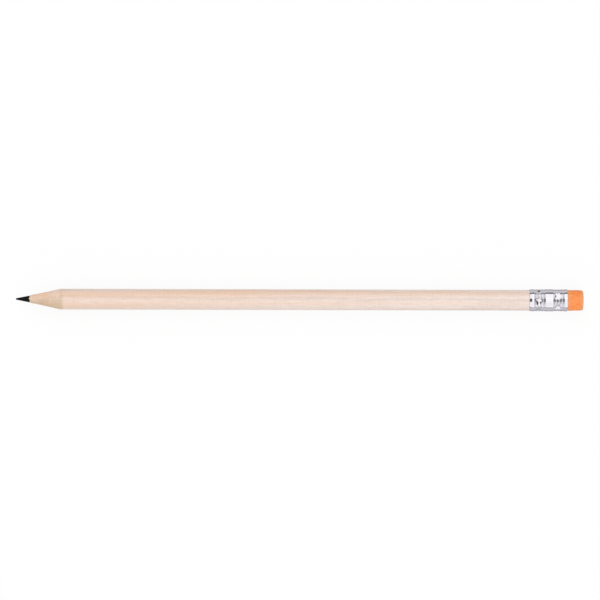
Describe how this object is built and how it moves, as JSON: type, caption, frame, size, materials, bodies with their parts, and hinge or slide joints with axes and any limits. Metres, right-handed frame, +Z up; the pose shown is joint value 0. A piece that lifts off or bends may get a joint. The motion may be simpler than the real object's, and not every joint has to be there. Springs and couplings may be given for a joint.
{
  "type": "wooden pencil",
  "caption": "Round natural-wood pencil, sharpened, with a graphite lead, a crimped metal ferrule and a plug eraser, for writing and rubbing out.",
  "frame": {"origin": "on the surface that the pencil lies on, under the middle of its length", "axes": "+X along the pencil from its point to its eraser, +Z up, +Y to the left when looking along +X"},
  "size_m": [0.19, 0.0074, 0.0074],
  "materials": {
    "graphite": "satin",
    "lime_wood": "matte",
    "wood_glue": "matte",
    "ferrule_aluminium": "gloss",
    "orange_rubber": "matte"
  },
  "bodies": {
    "root": {"graphite_lead": "graphite", "upper_slat": "lime_wood", "lower_slat": "lime_wood", "glue_line": "wood_glue", "ferrule": "ferrule_aluminium", "eraser": "orange_rubber"}
  },
  "joints": []
}
